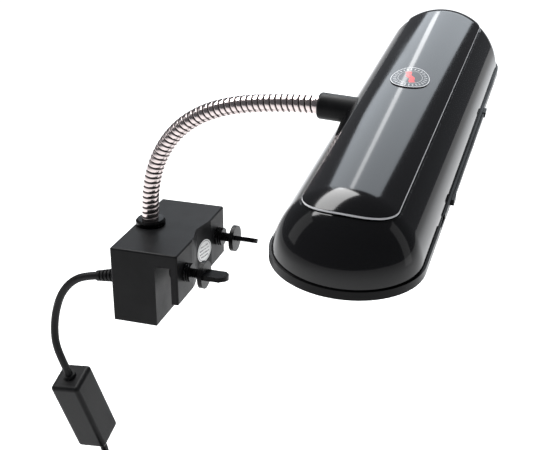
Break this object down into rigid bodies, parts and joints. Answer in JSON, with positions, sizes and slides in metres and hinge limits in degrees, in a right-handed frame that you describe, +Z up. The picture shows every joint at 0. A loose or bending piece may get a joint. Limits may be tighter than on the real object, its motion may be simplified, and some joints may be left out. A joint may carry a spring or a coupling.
{
  "type": "led aquarium light",
  "caption": "Clip-on aquarium light: a saddle clamp with thumb screws, a flexible chrome gooseneck, a long rounded hood with LEDs beneath it, and a mains cord with an inline switch.",
  "frame": {"origin": "on the fixed jaw's face, in the middle of the clamp's length, level with the thumb screws' axes", "axes": "+X across the glass from the fixed jaw towards the lamp, +Y along the glass towards the hood's far end, +Z up"},
  "size_m": [0.2709, 0.3202, 0.4497],
  "materials": {
    "clamp_black": "satin moulded",
    "screw_black": "glossy moulded",
    "label_white": "printed film",
    "neck_chrome": "polished, fine spiral",
    "nut_chrome": "polished",
    "sleeve_black": "satin moulded",
    "hood_black": "glossy moulded",
    "panel_black": "high gloss",
    "bezel_black": "glossy moulded",
    "badge_film": "printed film",
    "lens_clear": "clear moulded",
    "gasket_grey": "matt",
    "reflector_white": "white moulded",
    "circuit_white": "white solder mask",
    "circuit_green": "green solder mask",
    "diode": "phosphor",
    "spreader": "extruded",
    "fastener": "zinc plated",
    "brass": "stamped",
    "lead_pvc": "satin",
    "cord_pvc": "satin",
    "switch_black": "satin moulded",
    "rocker_black": "satin moulded",
    "component": "mixed parts",
    "pin_nickel": "nickel plated",
    "pad_rubber": "matt"
  },
  "bodies": {
    "clamp": {"clamp_body": "clamp_black", "back_cover": "clamp_black", "cover_screws": "fastener", "rating_label": "label_white", "screw_bush_near": "screw_black", "screw_bush_far": "screw_black", "neck_flange_nut": "screw_black", "neck_lock_nut": "fastener", "neck_base_ferrule": "nut_chrome", "driver_board": "circuit_green", "board_screws": "fastener", "driver_transformer": "component", "driver_capacitors": "component", "terminal_block": "circuit_white", "mains_leads": "lead_pvc", "lamp_leads": "lead_pvc", "strain_relief": "cord_pvc", "cord_upper": "cord_pvc", "switch_shell_front": "switch_black", "switch_shell_back": "switch_black", "switch_screws": "fastener", "switch_contacts": "brass", "switch_grommets": "cord_pvc", "cord_lead": "cord_pvc", "cord_coil": "cord_pvc", "coil_tie": "cord_pvc", "cord_tail": "cord_pvc", "plug_body": "cord_pvc", "plug_pins": "pin_nickel"},
    "pad_near": {"pressure_pad_near": "pad_rubber"},
    "screw_near": {"thumb_screw_near": "screw_black"},
    "pad_far": {"pressure_pad_far": "pad_rubber"},
    "screw_far": {"thumb_screw_far": "screw_black"},
    "neck_1": {"neck_segment_1": "neck_chrome"},
    "neck_2": {"neck_segment_2": "neck_chrome"},
    "neck_3": {"neck_segment_3": "neck_chrome"},
    "neck_4": {"neck_segment_4": "neck_chrome"},
    "neck_5": {"neck_segment_5": "neck_chrome"},
    "neck_6": {"neck_segment_6": "neck_chrome"},
    "neck_7": {"neck_segment_7": "neck_chrome"},
    "neck_8": {"neck_segment_8": "neck_chrome"},
    "neck_9": {"neck_segment_9": "neck_chrome"},
    "neck_end": {"neck_end_ferrule": "nut_chrome", "neck_retaining_nut": "fastener"},
    "head": {"head_socket": "sleeve_black", "hood": "hood_black", "top_panel": "panel_black", "badge": "badge_film", "bezel": "bezel_black", "bezel_screws": "fastener", "lens": "lens_clear", "lens_gasket": "gasket_grey", "reflector": "reflector_white", "led_board": "circuit_white", "leds": "diode", "heat_spreader": "spreader", "spreader_screws": "fastener", "head_leads": "lead_pvc"},
    "rocker": {"switch_rocker": "rocker_black"}
  },
  "joints": [
    {"name": "pad_near_slide", "type": "slide", "parent": "clamp", "child": "pad_near", "axis": [1, 0, 0], "range_m": [-0.0055, 0.0018]},
    {"name": "screw_near_turn", "type": "hinge", "parent": "pad_near", "child": "screw_near", "pos_m": [0.02, -0.0285, 0], "axis": [1, 0, 0], "range_deg": [-1990, 660]},
    {"name": "pad_far_slide", "type": "slide", "parent": "clamp", "child": "pad_far", "axis": [1, 0, 0], "range_m": [-0.0055, 0.0018]},
    {"name": "screw_far_turn", "type": "hinge", "parent": "pad_far", "child": "screw_far", "pos_m": [0.02, 0.0285, 0], "axis": [1, 0, 0], "range_deg": [-1990, 660]},
    {"name": "bend_1", "type": "hinge", "parent": "clamp", "child": "neck_1", "pos_m": [-0.0202, 0, 0.0235], "axis": [0, 1, 0], "range_deg": [-12, 12]},
    {"name": "sway_2", "type": "hinge", "parent": "neck_1", "child": "neck_2", "pos_m": [-0.01899, 0, 0.04086], "axis": [-0.9877, 0, 0.1564], "range_deg": [-8, 8]},
    {"name": "bend_3", "type": "hinge", "parent": "neck_2", "child": "neck_3", "pos_m": [-0.01478, 0, 0.05774], "axis": [0, 1, 0], "range_deg": [-12, 12]},
    {"name": "sway_4", "type": "hinge", "parent": "neck_3", "child": "neck_4", "pos_m": [-0.00688, 0, 0.07324], "axis": [-0.829, 0, 0.5592], "range_deg": [-8, 8]},
    {"name": "bend_5", "type": "hinge", "parent": "neck_4", "child": "neck_5", "pos_m": [0.00454, 0, 0.08638], "axis": [0, 1, 0], "range_deg": [-12, 12]},
    {"name": "sway_6", "type": "hinge", "parent": "neck_5", "child": "neck_6", "pos_m": [0.01913, 0, 0.09585], "axis": [-0.4462, 0, 0.8949], "range_deg": [-8, 8]},
    {"name": "bend_7", "type": "hinge", "parent": "neck_6", "child": "neck_7", "pos_m": [0.03548, 0, 0.1018], "axis": [0, 1, 0], "range_deg": [-12, 12]},
    {"name": "sway_8", "type": "hinge", "parent": "neck_7", "child": "neck_8", "pos_m": [0.05256, 0, 0.10512], "axis": [-0.1478, 0, 0.989], "range_deg": [-8, 8]},
    {"name": "bend_9", "type": "hinge", "parent": "neck_8", "child": "neck_9", "pos_m": [0.06987, 0, 0.10694], "axis": [0, 1, 0], "range_deg": [-12, 12]},
    {"name": "sway_10", "type": "hinge", "parent": "neck_9", "child": "neck_end", "pos_m": [0.08724, 0, 0.10785], "axis": [0.0017, 0, 1], "range_deg": [-8, 8]},
    {"name": "head_tilt", "type": "hinge", "parent": "neck_end", "child": "head", "pos_m": [0.10721, 0, 0.10674], "axis": [0.9984, 0, -0.0558], "range_deg": [-45, 45]},
    {"name": "rocker_tilt", "type": "hinge", "parent": "clamp", "child": "rocker", "pos_m": [-0.08006, -0.0117, -0.12828], "axis": [0, 0.9559, 0.2937], "range_deg": [-16, 0]}
  ],
  "couplings": [
    {"joint": "screw_near_turn", "follows": "pad_near_slide", "rad_per_m": 6283.2},
    {"joint": "screw_far_turn", "follows": "pad_far_slide", "rad_per_m": 6283.2},
    {"joint": "bend_3", "follows": "bend_1", "ratio": 1},
    {"joint": "bend_5", "follows": "bend_1", "ratio": 1},
    {"joint": "bend_9", "follows": "bend_7", "ratio": 1},
    {"joint": "sway_4", "follows": "sway_2", "ratio": 1},
    {"joint": "sway_6", "follows": "sway_2", "ratio": 1},
    {"joint": "sway_8", "follows": "sway_2", "ratio": 1},
    {"joint": "sway_10", "follows": "sway_2", "ratio": 1}
  ]
}
